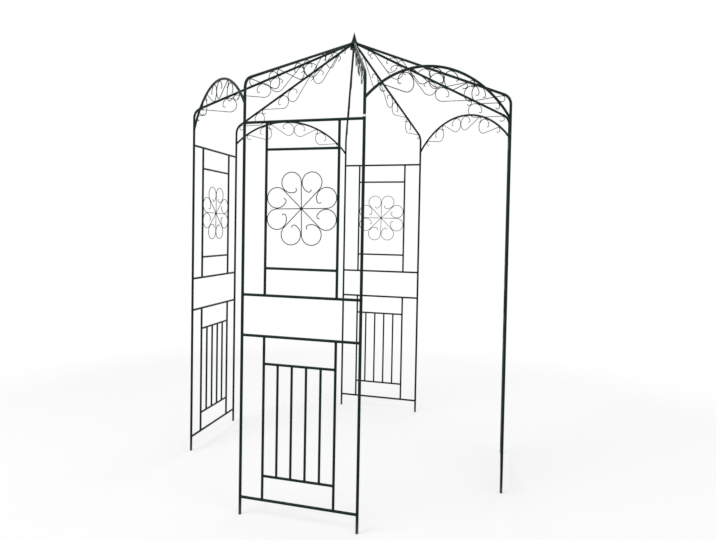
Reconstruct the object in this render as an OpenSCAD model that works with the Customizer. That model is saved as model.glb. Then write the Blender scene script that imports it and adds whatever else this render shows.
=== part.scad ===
// Eight-post garden pavilion of bent and welded steel tube.
// Four trellis panels stand square to each other and leave four arched
// doorways on the diagonals. Each post bends into a rafter that runs up to
// a hub under a spear finial. Scrolled wire fills the panels and hangs as a
// frieze under every rafter and every arch.
// Millimetres, +Z up, origin on the ground at the centre of the plan.

/* [Plan] */
// Distance between the planes of two facing panels, post axis to post axis
span_across = 1900; // [1500:10:2600]
// Distance between the two posts of one panel, axis to axis
panel_width = 600; // [480:10:760]

/* [Heights] */
// Ground to the axis of the bottom rail
bottom_rail_z = 88; // [60:1:160]
// Ground to the axis of the rail that tops the barred infill
lower_mid_rail_z = 897; // [700:1:960]
// Ground to the axis of the rail under the flower infill
upper_mid_rail_z = 1097; // [1040:1:1200]
// Ground to the axis of the top rail
top_rail_z = 1937; // [1780:1:2100]
// Height of an arch's springing above the axis of the top rail
spring_rise = 95; // [70:1:105]
// Rise of an arch from its springing to its crown
arch_rise = 205; // [170:5:330]
// Height of the corner where post and rafter axes meet above the top rail
eaves_rise = 213; // [200:1:320]
// Height of the point where the rafter axes meet above that corner
roof_rise = 450; // [350:5:700]

/* [Tubes] */
// Diameter of posts and rafters
post_d = 14.5; // [14:0.5:18]
// Wall of posts and rafters
post_wall = 1.2; // [1:0.1:2]
// Diameter of the four rails of a panel
rail_d = 13.5; // [13.3:0.1:13.9]
// Diameter of the upright stiles of a panel
stile_d = 13; // [12.8:0.1:13.2]
// Diameter of the cross rails between the stiles
cross_d = 12.5; // [12.3:0.1:12.7]
// Diameter of the plain bars of the lower infill
bar_d = 12; // [8:0.1:12.2]
// Diameter of an arch
arch_d = 13.5; // [10:0.5:13.5]
// Axis radius of the bend from post to rafter
bend_r = 65; // [50:5:90]
// Height of the post socket above the top of the top rail
socket_rise = 9; // [6:1:20]
// Length of the rafter's reduced end inside the post
spigot_length = 40; // [25:5:60]
// Free space between that end and the post's bore, on each side
spigot_gap = 0.15; // [0.1:0.05:0.4]

/* [Panel infill] */
// Distance of each stile axis from the nearer post axis
stile_inset = 118; // [90:1:150]
// Drop of the upper cross rail below its rail, lower infill
lower_top_margin = 135; // [100:1:170]
// Rise of the lower cross rail above the bottom rail
lower_bottom_margin = 120; // [90:1:170]
// Distance of the cross rails from the rails, flower infill
upper_margin = 133; // [100:1:160]
// Number of plain bars in the lower infill
bar_count = 4; // [2:1:6]

/* [Scrollwork] */
// Diameter of the scroll wire
wire_d = 4.25; // [3:0.25:5]
// Depth to which touching wires and tubes are run together by the weld
weld_depth = 0.5; // [0.3:0.1:0.8]
// Number of petals of the flower
petal_count = 8; // [6:1:10]
// Axis radius of a petal's inner hook
petal_hook_r = 11; // [8:1:20]
// Free space between a petal's loop and the next petal's leg
petal_gap = 0.1; // [0.05:0.05:0.5]
// Diameter of the weld bead that joins them
bead_d = 6; // [5.5:0.5:8]
// Diameter of the flower's centre boss
boss_d = 14; // [14:1:24]
// Length of the flower's centre boss through the panel
boss_length = 8; // [6:1:16]
// Height of the flower's centre above the middle of its panel
flower_rise = 3; // [-20:1:20]
// Axis radius of the large loop of a rafter scroll
rafter_loop_r = 43; // [34:1:50]
// Number of scrolls in each half of a rafter frieze
rafter_scroll_count = 2; // [1:1:3]
// Axis radius of the large loop of an arch scroll
arch_loop_r = 46.5; // [34:0.5:50]
// Number of scrolls in each half of an arch frieze
arch_scroll_count = 2; // [1:1:3]
// Axis radius of the small end curl of a scroll
curl_r = 16; // [10:1:22]
// Axis radius of the turned-in tip inside the large loop
tip_r = 10; // [8:1:14]
// Distance from the end of the bend to the centre of the first end curl
frieze_margin = 0; // [0:1:30]
// Free length between a rafter frieze and the hub
crown_margin = 95; // [20:1:140]
// Free length between an arch frieze and the posts
arch_margin = 83; // [20:1:120]

/* [Crown] */
// Free space between neighbouring rafters where they meet the hub
rafter_gap = 0.6; // [0.3:0.1:3]
// Height of the hub
hub_height = 40; // [34:1:60]
// Height of the hub's top above the rafters' upper edges
hub_cover = 2; // [1:0.5:14]
// Diameter of the finial at its foot
finial_d = 36; // [28:1:44]
// Height of the finial
finial_height = 68; // [50:1:120]

/* [Hidden] */
$fn = 48;

// Bends and the straight pieces between them are drawn apart. A straight
// piece laps this far into its bends, and is this much thinner than they are.
lap = 0.3;
lap_step = 0.1;

// Plan
half_span = span_across / 2;
half_panel = panel_width / 2;
post_radius = norm([half_panel, half_span]);
post_azimuth = atan2(half_panel, half_span);
post_top_z = top_rail_z + rail_d / 2 + socket_rise;
bore_d = post_d - 2 * post_wall;
arch_spring_z = top_rail_z + spring_rise;
eaves_z = top_rail_z + eaves_rise;
apex_z = eaves_z + roof_rise;

// Roof
roof_pitch = atan2(roof_rise, post_radius);
bend_angle = 90 - roof_pitch;
bend_tangent = bend_r * tan(bend_angle / 2);
rafter_length = post_radius / cos(roof_pitch);
hub_d = (post_d + rafter_gap) / sin(post_azimuth);
hub_top_z = apex_z - hub_d / 2 * tan(roof_pitch) + post_d / 2 / cos(roof_pitch) + hub_cover;

// Arches
arch_chord = (half_span - half_panel) * sqrt(2);
arch_r = (arch_chord * arch_chord / 4 + arch_rise * arch_rise) / (2 * arch_rise);
arch_half_angle = asin(arch_chord / 2 / arch_r);
arch_centre_z = arch_spring_z + arch_rise - arch_r;

// Panel infill
stile_x = half_panel - stile_inset;
stile_clear = 2 * stile_x - stile_d;
flower_z = (upper_mid_rail_z + top_rail_z) / 2 + flower_rise;

// Frieze scroll
loop_turn = 280;
curl_turn = 235;
tip_turn = 130;

// Rafter frieze: its scrolls share the length between the eaves bend and the
// crown margin, half of it on each side of the frieze's middle
curl_end = curl_r + wire_d / 2;
rafter_contact = sqrt(pow(touch_distance(rafter_loop_r), 2) - pow(rafter_loop_r - curl_r, 2));
rafter_frieze_half = (rafter_length - hub_d / 2 / cos(roof_pitch) - crown_margin
    - bend_tangent - frieze_margin + curl_end) / 2;
rafter_step = (rafter_frieze_half - half_pair(rafter_loop_r) - curl_end + rafter_contact)
    / rafter_scroll_count;
rafter_scroll_span = rafter_step - rafter_contact;

// Arch frieze: the same round the inside of the arch, in angles, from its
// crown to its end margin
arch_inner_r = arch_r - arch_d / 2;
arch_loop_at = arch_inner_r - seat_depth(arch_loop_r);
arch_curl_at = arch_inner_r - seat_depth(curl_r);
arch_first = asin(half_pair(arch_loop_r) / arch_loop_at);
arch_contact_turn = angle_between(arch_loop_at, arch_curl_at, touch_distance(arch_loop_r));
arch_end_turn = asin((curl_end + arch_margin) / arch_curl_at) + asin(post_d / 2 / arch_r);
arch_step_turn = (arch_half_angle - arch_end_turn - arch_first + arch_contact_turn)
    / arch_scroll_count;
arch_span_turn = arch_step_turn - arch_contact_turn;

// Petal: the loop is tangent to its own leg and runs into the next leg
petal_angle = 360 / petal_count;
leg_offset = wire_d + petal_gap;
petal_reach = stile_clear / 2 - wire_d / 2 + weld_depth;
petal_a = 1 / tan(petal_angle / 2);
petal_b = leg_offset / sin(petal_angle);
petal_c = pow(cos(petal_angle / 2), 2);
petal_q2 = petal_c * (petal_a * petal_a + 1) - 1;
petal_q1 = 2 * (petal_c * petal_a * petal_b + petal_reach);
petal_q0 = petal_c * petal_b * petal_b - petal_reach * petal_reach;
petal_r = (sqrt(petal_q1 * petal_q1 - 4 * petal_q2 * petal_q0) - petal_q1) / (2 * petal_q2);
petal_leg = petal_a * petal_r + petal_b;
petal_tilt = petal_angle / 2 - atan2(petal_r, petal_leg);
petal_turn = 291;
petal_hook_turn = 120;
petal_start = (boss_d / 2 + wire_d) / 2;

// Angle at the centre of a circle between points at radii a and b, d apart
function angle_between(a, b, d) = acos((a * a + b * b - d * d) / (2 * a * b));

// Distance from a tube's surface to the centre of a loop welded to it
function seat_depth(radius) = radius + wire_d / 2 - weld_depth;

// Distance from the middle of a frieze to the centre of its first loop
function half_pair(loop_radius) = loop_radius + (wire_d - weld_depth) / 2;

// Distance between the centres of an end curl and the loop that it touches
function touch_distance(loop_radius) = loop_radius + curl_r + wire_d - weld_depth;

// ---- Wire and tube pieces ----

// Round wire along an arc about the origin, in the XY plane
module wire_arc(radius, from, turn, diameter = wire_d) {
    rotate([0, 0, from])
        rotate_extrude(angle = turn)
            translate([radius, 0])
                circle(d = diameter, $fn = 24);
}

// Arc of lapped wire: it runs on past both ends into the next pieces
module lapped_arc(radius, from, turn) {
    lap_turn = lap / radius * 180 / PI;
    wire_arc(radius, from - lap_turn, turn + 2 * lap_turn, wire_d - lap_step);
}

// Straight lapped wire from the origin along +X
module lapped_line(length) {
    translate([-lap, 0, 0])
        rotate([0, 90, 0])
            cylinder(d = wire_d - lap_step, h = length + 2 * lap, $fn = 24);
}

// Horizontal rod along X, centred on the origin
module rod_x(diameter, length) {
    rotate([0, 90, 0])
        cylinder(d = diameter, h = length, center = true);
}

// Turns what is drawn in the XY plane so that its Y axis points up
module upright() {
    rotate([90, 0, 0])
        children();
}

// Moves a side's pieces from the front to side number k
module on_side(k) {
    rotate([0, 0, 90 * k])
        children();
}

// Moves a radial plane, drawn in XZ with +X outward, to a post of side k
module on_post(k, hand) {
    rotate([0, 0, 90 * k - 90 + hand * post_azimuth])
        children();
}

// Moves an arch, drawn in XZ and centred on the Z axis, to the doorway
// that follows side k
module on_doorway(k) {
    rotate([0, 0, 90 * k + 45])
        translate([0, -(half_span + half_panel) / sqrt(2), 0])
            children();
}

// ---- Frame ----

// Open-ended tube that stands on the ground
module post(k, hand) {
    color("darkslategray")
        on_side(k)
            translate([hand * half_panel, -half_span, 0])
                difference() {
                    cylinder(d = post_d, h = post_top_z);
                    translate([0, 0, -1])
                        cylinder(d = bore_d, h = post_top_z + 2);
                }
}

// Both posts of a panel as solid rods, to cope the ends of the rails
module panel_post_rods() {
    for (hand = [-1, 1])
        translate([hand * half_panel, 0, 0])
            cylinder(d = post_d, h = eaves_z);
}

// Two rails from post to post and two stiles between them
module trellis_frame(low_z, high_z) {
    difference() {
        union() {
            for (z = [low_z, high_z])
                translate([0, 0, z])
                    rod_x(rail_d, panel_width);
            for (side = [-1, 1])
                translate([side * stile_x, 0, low_z])
                    cylinder(d = stile_d, h = high_z - low_z);
        }
        panel_post_rods();
    }
}

// Cross rail from stile to stile
module cross_rail(z) {
    translate([0, 0, z])
        rod_x(cross_d, 2 * stile_x);
}

// Lower half of a panel: plain bars between two cross rails
module barred_trellis(k) {
    low = bottom_rail_z + lower_bottom_margin;
    high = lower_mid_rail_z - lower_top_margin;
    pitch = 2 * stile_x / (bar_count + 1);
    color("darkslategray")
        on_side(k)
            translate([0, -half_span, 0]) {
                trellis_frame(bottom_rail_z, lower_mid_rail_z);
                cross_rail(low);
                cross_rail(high);
                for (i = [1 : bar_count])
                    translate([i * pitch - stile_x, 0, low])
                        cylinder(d = bar_d, h = high - low);
            }
}

// One petal: a straight leg, a round loop and a hook turned in, with the
// weld bead that joins the loop to the next petal's leg
module petal() {
    translate([petal_start, 0, 0])
        lapped_line(petal_leg - petal_start);
    translate([petal_leg, petal_r, 0]) {
        wire_arc(petal_r, -90, petal_turn);
        rotate([0, 0, petal_turn - 90])
            translate([petal_r - petal_hook_r, 0, 0])
                lapped_arc(petal_hook_r, 0, petal_hook_turn);
    }
    rotate([0, 0, petal_angle])
        translate([petal_leg * cos(petal_angle) + petal_r * sin(petal_angle), -leg_offset / 2, 0])
            sphere(d = bead_d);
}

// Wire flower that is held between the stiles by its outermost loops
module flower() {
    for (i = [0 : petal_count - 1])
        rotate([0, 0, i * petal_angle + petal_tilt])
            petal();
    cylinder(d = boss_d, h = boss_length, center = true);
}

// Upper half of a panel: a wire flower between two cross rails
module flower_trellis(k) {
    color("darkslategray")
        on_side(k)
            translate([0, -half_span, 0]) {
                trellis_frame(upper_mid_rail_z, top_rail_z);
                cross_rail(upper_mid_rail_z + upper_margin);
                cross_rail(top_rail_z - upper_margin);
                translate([0, 0, flower_z])
                    upright()
                        flower();
            }
}

// ---- Roof ----

// Axis of a rafter as seen in its radial plane: tube of a given diameter
// from the post socket, round the bend and up to the hub
module rafter_run(diameter, low_z) {
    straight_d = diameter - lap_step;
    translate([post_radius, 0, low_z])
        cylinder(d = straight_d, h = eaves_z - bend_tangent - low_z + lap);
    translate([post_radius - bend_r, 0, eaves_z - bend_tangent])
        upright()
            rotate_extrude(angle = bend_angle)
                translate([bend_r, 0])
                    circle(d = diameter);
    translate([post_radius, 0, eaves_z])
        rotate([0, roof_pitch - 90, 0])
            translate([0, 0, bend_tangent - lap])
                cylinder(d = straight_d, h = rafter_length - bend_tangent + lap);
}

// Hub as a solid rod, to cope the upper ends of the rafters
module hub_rod() {
    translate([0, 0, hub_top_z - 2 * hub_height])
        cylinder(d = hub_d, h = 4 * hub_height);
}

// Bent tube that plugs into a post and runs up to the hub
module rafter(k, hand) {
    color("darkslategray")
        on_post(k, hand)
            difference() {
                union() {
                    rafter_run(post_d, post_top_z);
                    translate([post_radius, 0, post_top_z - spigot_length])
                        cylinder(d = bore_d - 2 * spigot_gap, h = spigot_length + 1);
                }
                hub_rod();
            }
}

// One frieze scroll: tip, large loop, straight leg and end curl. The loop is
// centred on the origin and the end curl on +X, at the given distance
module scroll(loop_radius, reach) {
    leg_angle = asin((loop_radius + curl_r) / reach);
    tangent_angle = leg_angle - 90;
    wire_arc(loop_radius, tangent_angle - loop_turn, loop_turn);
    rotate([0, 0, tangent_angle - loop_turn])
        translate([loop_radius - tip_r, 0, 0])
            lapped_arc(tip_r, -tip_turn, tip_turn);
    rotate([0, 0, tangent_angle])
        translate([loop_radius, 0, 0])
            rotate([0, 0, 90])
                lapped_line(reach * cos(leg_angle));
    translate([reach, 0, 0])
        wire_arc(curl_r, leg_angle + 90 - curl_turn, curl_turn);
}

// Mirrored halves of a frieze; a half is drawn on the +X side
module both_halves() {
    children();
    mirror([1, 0, 0])
        children();
}

// Straight frieze that hangs from the line y = 0, centred on the origin
module straight_frieze() {
    reach = [rafter_scroll_span, rafter_loop_r - curl_r];
    both_halves()
        for (i = [0 : rafter_scroll_count - 1])
            translate([half_pair(rafter_loop_r) + i * rafter_step, -seat_depth(rafter_loop_r), 0])
                rotate([0, 0, atan2(reach[1], reach[0])])
                    scroll(rafter_loop_r, norm(reach));
}

// Curved frieze that hangs inside the arch, about the arch's centre
module curved_frieze() {
    both_halves()
        for (i = [0 : arch_scroll_count - 1]) {
            turned = arch_first + i * arch_step_turn;
            curl_turned = turned + arch_span_turn;
            loop_point = arch_loop_at * [sin(turned), cos(turned)];
            reach = arch_curl_at * [sin(curl_turned), cos(curl_turned)] - loop_point;
            translate([loop_point[0], loop_point[1], 0])
                rotate([0, 0, atan2(reach[1], reach[0])])
                    scroll(arch_loop_r, norm(reach));
        }
}

// Row of scrolls welded under a rafter
module rafter_scrolls(k, hand) {
    middle = bend_tangent + frieze_margin + rafter_frieze_half - curl_end;
    color("darkslategray")
        on_post(k, hand)
            translate([post_radius, 0, eaves_z])
                rotate([0, roof_pitch, 0])
                    translate([-middle, 0, -post_d / 2])
                        upright()
                            straight_frieze();
}

// ---- Doorway arches ----

// Arc of round bar between two posts
module arch(k) {
    color("darkslategray")
        on_doorway(k)
            difference() {
                translate([0, 0, arch_centre_z])
                    upright()
                        rotate([0, 0, 90 - arch_half_angle])
                            rotate_extrude(angle = 2 * arch_half_angle, $fn = 96)
                                translate([arch_r, 0])
                                    circle(d = arch_d);
                for (side = [-1, 1])
                    translate([side * arch_chord / 2, 0, post_top_z])
                        cylinder(d = post_d, h = eaves_z - post_top_z);
            }
}

// Row of scrolls welded inside an arch
module arch_scrolls(k) {
    color("darkslategray")
        on_doorway(k)
            translate([0, 0, arch_centre_z])
                upright()
                    curved_frieze();
}

// ---- Crown ----

// Turned collar that takes the eight rafters
module roof_hub() {
    color("darkslategray")
        translate([0, 0, hub_top_z - hub_height])
            cylinder(d = hub_d, h = hub_height);
}

// Slim turned spear on the hub
module finial() {
    foot = finial_height * 0.08;
    color("darkslategray")
        translate([0, 0, hub_top_z])
            rotate_extrude()
                polygon([
                    [0, 0],
                    [finial_d / 2, 0],
                    [finial_d / 2, foot],
                    [0, finial_height]
                ]);
}

post(0, -1);  // front_left_post
post(0, 1);  // front_right_post
post(1, -1);  // right_front_post
post(1, 1);  // right_rear_post
post(2, -1);  // rear_right_post
post(2, 1);  // rear_left_post
post(3, -1);  // left_rear_post
post(3, 1);  // left_front_post
barred_trellis(0);  // front_barred_trellis
barred_trellis(1);  // right_barred_trellis
barred_trellis(2);  // rear_barred_trellis
barred_trellis(3);  // left_barred_trellis
flower_trellis(0);  // front_flower_trellis
flower_trellis(1);  // right_flower_trellis
flower_trellis(2);  // rear_flower_trellis
flower_trellis(3);  // left_flower_trellis
rafter(0, -1);  // front_left_rafter
rafter(0, 1);  // front_right_rafter
rafter(1, -1);  // right_front_rafter
rafter(1, 1);  // right_rear_rafter
rafter(2, -1);  // rear_right_rafter
rafter(2, 1);  // rear_left_rafter
rafter(3, -1);  // left_rear_rafter
rafter(3, 1);  // left_front_rafter
rafter_scrolls(0, -1);  // front_left_rafter_scrolls
rafter_scrolls(0, 1);  // front_right_rafter_scrolls
rafter_scrolls(1, -1);  // right_front_rafter_scrolls
rafter_scrolls(1, 1);  // right_rear_rafter_scrolls
rafter_scrolls(2, -1);  // rear_right_rafter_scrolls
rafter_scrolls(2, 1);  // rear_left_rafter_scrolls
rafter_scrolls(3, -1);  // left_rear_rafter_scrolls
rafter_scrolls(3, 1);  // left_front_rafter_scrolls
arch(0);  // front_right_arch
arch(1);  // rear_right_arch
arch(2);  // rear_left_arch
arch(3);  // front_left_arch
arch_scrolls(0);  // front_right_arch_scrolls
arch_scrolls(1);  // rear_right_arch_scrolls
arch_scrolls(2);  // rear_left_arch_scrolls
arch_scrolls(3);  // front_left_arch_scrolls
roof_hub();
finial();
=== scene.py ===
"""Looks, light and camera for a garden pavilion of bent and welded steel tube.

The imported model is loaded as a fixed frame. Each class below takes one
sub-assembly: it dresses the tubes in their powder coat and models the weld
beads and small fittings that hold them together. All lengths are in metres,
in the frame of the model: +Z up, -Y towards the front panel.
"""

import logging
import math
import random
from collections.abc import Callable, Iterator, Sequence
from contextlib import contextmanager
from dataclasses import dataclass
from enum import Enum

import bmesh
import bpy
from mathutils import Matrix, Vector


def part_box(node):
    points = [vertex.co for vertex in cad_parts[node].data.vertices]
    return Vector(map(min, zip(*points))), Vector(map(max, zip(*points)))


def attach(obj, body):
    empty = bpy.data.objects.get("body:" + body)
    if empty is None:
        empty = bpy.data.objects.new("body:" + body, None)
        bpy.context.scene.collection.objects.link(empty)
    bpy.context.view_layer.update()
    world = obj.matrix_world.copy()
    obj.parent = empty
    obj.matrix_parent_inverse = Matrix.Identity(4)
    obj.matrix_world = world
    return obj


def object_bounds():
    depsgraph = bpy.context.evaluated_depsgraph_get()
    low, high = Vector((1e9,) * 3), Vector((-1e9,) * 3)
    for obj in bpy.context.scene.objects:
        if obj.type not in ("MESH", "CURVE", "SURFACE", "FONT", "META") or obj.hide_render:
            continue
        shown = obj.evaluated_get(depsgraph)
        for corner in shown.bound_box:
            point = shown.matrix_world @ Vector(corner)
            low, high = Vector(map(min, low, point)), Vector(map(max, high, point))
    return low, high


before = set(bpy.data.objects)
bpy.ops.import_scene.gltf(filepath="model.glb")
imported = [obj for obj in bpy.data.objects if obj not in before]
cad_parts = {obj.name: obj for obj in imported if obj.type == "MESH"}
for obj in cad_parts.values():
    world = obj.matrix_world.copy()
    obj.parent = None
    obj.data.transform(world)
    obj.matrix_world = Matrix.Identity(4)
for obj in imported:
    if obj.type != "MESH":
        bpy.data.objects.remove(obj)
CAD_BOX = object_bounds()

Piece = bpy.types.Object
Node = bpy.types.Node
Socket = bpy.types.NodeSocket
Material = bpy.types.Material
Inputs = dict[str | int, object]

LOG = logging.getLogger("pavilion")
BODY = "root"
MM = 0.001
WHITE = (1.0, 1.0, 1.0, 1.0)
X_AXIS = Vector((1, 0, 0))
Z_AXIS = Vector((0, 0, 1))


# ---- Choices ----


class Side(Enum):
    """The four trellis panels, from the front one round to the left one."""

    FRONT = (0, "left", "right", "front_right")
    RIGHT = (90, "front", "rear", "rear_right")
    REAR = (180, "right", "left", "rear_left")
    LEFT = (270, "rear", "front", "front_left")

    def __init__(self, degrees: int, left: str, right: str, doorway: str) -> None:
        """Keeps the side's angle and words.

        Args:
            degrees: Turn from the front panel.
            left: The word for its left post, as seen from outside.
            right: The word for its right post.
            doorway: The word for the doorway between it and the next panel round.
        """
        self.degrees = degrees
        self.hands = (left, right)
        self.doorway = doorway

    @property
    def label(self) -> str:
        """The side's word in the names of its nodes."""
        return self.name.lower()

    @property
    def turn(self) -> Matrix:
        """The turn that carries the front panel's pieces to this side."""
        return Matrix.Rotation(math.radians(self.degrees), 4, "Z")


WORN_JOINT = (Side.FRONT, "right")
# In degrees: where the front panel looks, and how far on the doorway beside a panel is.
FRONT_HEADING = -90
NEXT_DOORWAY = 45


class Slot(Enum):
    """The record's material slots, each with a finish of its own."""

    POST = "post_tube"
    RAFTER = "rafter_tube"
    TRELLIS = "trellis_bar"
    ARCH = "arch_bar"
    WIRE = "scroll_wire"
    HUB = "hub"
    FINIAL = "finial"


class Weld(Enum):
    """The kinds of bead and head that are laid on the tubes."""

    RAIL = "rail on post"
    STILE = "stile on rail"
    CROSS = "cross rail on stile"
    BAR = "bar on cross rail"
    TACK = "wire on tube or wire"
    RIVET = "head on a flower's boss"
    HUB = "rafter on hub"
    ARCH = "arch on post"


# ---- Sizes ----


@dataclass(frozen=True)
class Sizes:
    """Lengths that the sub-assemblies share.

    What a node's box gives is measured on it. The rest repeats the sizes that
    the model was drawn with.
    """

    half_span: float
    half_panel: float
    post_r: float
    post_top: float
    rail_r: float
    bottom_rail: float
    lower_mid_rail: float
    upper_mid_rail: float
    top_rail: float
    hub_r: float
    hub_low: float
    hub_top: float
    finial_r: float
    arch_crown: float
    stile_r: float = 6.5 * MM
    cross_r: float = 6.25 * MM
    bar_r: float = 6.0 * MM
    arch_bar_r: float = 6.75 * MM
    wire_r: float = 2.125 * MM
    weld_depth: float = 0.5 * MM
    spring_rise: float = 95 * MM
    eaves_rise: float = 213 * MM
    roof_rise: float = 450 * MM
    curl_r: float = 16 * MM
    scrolls_per_half: int = 2

    @classmethod
    def measured(cls) -> "Sizes":
        """Reads the pavilion's sizes off the boxes of its nodes.

        Returns:
            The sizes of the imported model.
        """
        post_low, post_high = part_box("front_right_post")
        barred_low, barred_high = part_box("front_barred_trellis")
        flower_low, flower_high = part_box("front_flower_trellis")
        hub_low, hub_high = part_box("roof_hub")
        finial_low, finial_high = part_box("finial")
        arch_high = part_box("front_right_arch")[1]
        rail_r = (barred_high.y - barred_low.y) / 2
        return cls(
            half_span=-(post_low.y + post_high.y) / 2,
            half_panel=(post_low.x + post_high.x) / 2,
            post_r=(post_high.x - post_low.x) / 2,
            post_top=post_high.z,
            rail_r=rail_r,
            bottom_rail=barred_low.z + rail_r,
            lower_mid_rail=barred_high.z - rail_r,
            upper_mid_rail=flower_low.z + rail_r,
            top_rail=flower_high.z - rail_r,
            hub_r=(hub_high.x - hub_low.x) / 2,
            hub_low=hub_low.z,
            hub_top=hub_high.z,
            finial_r=(finial_high.x - finial_low.x) / 2,
            arch_crown=arch_high.z - cls.arch_bar_r,
        )

    @property
    def post_radius(self) -> float:
        """Distance of a post from the centre of the plan."""
        return math.hypot(self.half_span, self.half_panel)

    @property
    def eaves(self) -> float:
        """Height of the corner where the axes of post and rafter meet."""
        return self.top_rail + self.eaves_rise

    @property
    def pitch(self) -> float:
        """Slope of the rafters above the horizontal, in radians."""
        return math.atan2(self.roof_rise, self.post_radius)

    @property
    def arch_chord(self) -> float:
        """Distance between the two posts of a doorway."""
        return (self.half_span - self.half_panel) * math.sqrt(2)

    @property
    def arch_rise(self) -> float:
        """Height of an arch's crown above its springing."""
        return self.arch_crown - self.top_rail - self.spring_rise

    @property
    def arch_radius(self) -> float:
        """Radius of an arch's axis."""
        half = self.arch_chord / 2
        return (half * half + self.arch_rise * self.arch_rise) / (2 * self.arch_rise)

    @property
    def arch_half_angle(self) -> float:
        """Angle from an arch's crown to its end, in radians."""
        return math.asin(self.arch_chord / 2 / self.arch_radius)

    def seat_depth(self, loop_r: float) -> float:
        """Distance from a tube's surface to the centre of a wire loop on it."""
        return loop_r + self.wire_r - self.weld_depth

    def touch_distance(self, loop_r: float) -> float:
        """Distance between the centres of a loop and the end curl that it touches."""
        return loop_r + self.curl_r + 2 * self.wire_r - self.weld_depth

    def half_pair(self, loop_r: float) -> float:
        """Distance from the middle of a frieze to the centre of its first loop."""
        return loop_r + self.wire_r - self.weld_depth / 2


# ---- Workbench: the modelling moves that the classes share ----


def deselect() -> None:
    """Leaves edit mode and selects nothing."""
    if bpy.context.object and bpy.context.object.mode != "OBJECT":
        bpy.ops.object.mode_set(mode="OBJECT")
    bpy.ops.object.select_all(action="DESELECT")


def take(piece: Piece) -> None:
    """Selects one piece alone and makes it active.

    Args:
        piece: The piece to work on.
    """
    deselect()
    piece.select_set(True)
    bpy.context.view_layer.objects.active = piece


@contextmanager
def editing(piece: Piece) -> Iterator[None]:
    """Holds a piece in edit mode with nothing selected.

    Args:
        piece: The piece to shape.

    Yields:
        Nothing; the piece is in edit mode meanwhile.
    """
    take(piece)
    bpy.ops.object.mode_set(mode="EDIT")
    bpy.ops.mesh.select_mode(type="VERT")
    bpy.ops.mesh.select_all(action="DESELECT")
    yield
    bpy.ops.object.mode_set(mode="OBJECT")


def choose(piece: Piece, test: Callable[[bmesh.types.BMVert], bool]) -> None:
    """Selects the vertices that pass a test and no others, in edit mode.

    Args:
        piece: The piece in edit mode.
        test: Says of a vertex whether it is chosen.
    """
    bpy.ops.mesh.select_all(action="DESELECT")
    shell = bmesh.from_edit_mesh(piece.data)
    for vert in shell.verts:
        vert.select_set(test(vert))
    shell.select_flush(True)
    bmesh.update_edit_mesh(piece.data)


def scale_chosen(value: Sequence[float], centre: Sequence[float] = (0, 0, 0)) -> None:
    """Scales what is selected in edit mode about a point."""
    bpy.ops.transform.resize(value=value, center_override=centre)


def add_ring(
    name: str, radius: float, thick_r: float, steps: int, sides: int, place: Matrix
) -> Piece:
    """Adds a round ring, with its place in its mesh.

    Args:
        name: Its name.
        radius: Distance from its centre to the middle of its section.
        thick_r: Radius of the section.
        steps: How many sections it has.
        sides: How many sides a section has.
        place: Where it goes; its own axis is Z.

    Returns:
        The ring.
    """
    deselect()
    bpy.ops.mesh.primitive_torus_add(
        location=place.translation,
        rotation=place.to_euler(),
        major_radius=radius,
        minor_radius=thick_r,
        major_segments=steps,
        minor_segments=sides,
    )
    ring = bpy.context.object
    ring.name = name
    bpy.ops.object.transform_apply(location=True, rotation=True, scale=True)
    return ring


def each_section(ring: Piece, steps: int, sides: int) -> Iterator[tuple[int, float]]:
    """Selects the sections of a ring one after another, in edit mode.

    Args:
        ring: A new ring, whose vertices are numbered section by section.
        steps: How many sections it has.
        sides: How many sides a section has.

    Yields:
        The section's number and its angle round the ring, in radians.
    """
    for step in range(steps):
        choose(ring, lambda vert, step=step: vert.index // sides == step)
        yield step, 2 * math.pi * step / steps


def smooth(piece: Piece, degrees: float) -> None:
    """Shades a piece smooth, apart from edges sharper than an angle."""
    take(piece)
    bpy.ops.object.shade_smooth_by_angle(angle=math.radians(degrees))


def copies(pattern: Piece, name: str, places: Sequence[Matrix]) -> Piece:
    """Copies a pattern to many places and joins the copies into one piece.

    Args:
        pattern: The piece that is repeated; it stays as it is.
        name: The joined piece's name.
        places: Where each copy goes.

    Returns:
        The joined piece, whose object sits at the origin.
    """
    made = []
    for place in places:
        mesh = pattern.data.copy()
        mesh.transform(place)
        copy = bpy.data.objects.new(name, mesh)
        bpy.context.scene.collection.objects.link(copy)
        made.append(copy)
    take(made[0])
    for copy in made[1:]:
        copy.select_set(True)
    if len(made) > 1:
        bpy.ops.object.join()
    return made[0]


def place_on(origin: Vector, along: Vector, up: Vector) -> Matrix:
    """Turns a pattern's +X to one direction and its +Z towards another.

    Args:
        origin: Where the pattern's origin goes.
        along: The direction of the pattern's +X.
        up: A direction near the pattern's +Z.

    Returns:
        The matrix that places the pattern.
    """
    x_axis = along.normalized()
    y_axis = up.cross(x_axis).normalized()
    z_axis = x_axis.cross(y_axis)
    turn = Matrix((x_axis, y_axis, z_axis)).transposed().to_4x4()
    return Matrix.Translation(origin) @ turn


# ---- Shader groups ----


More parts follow.
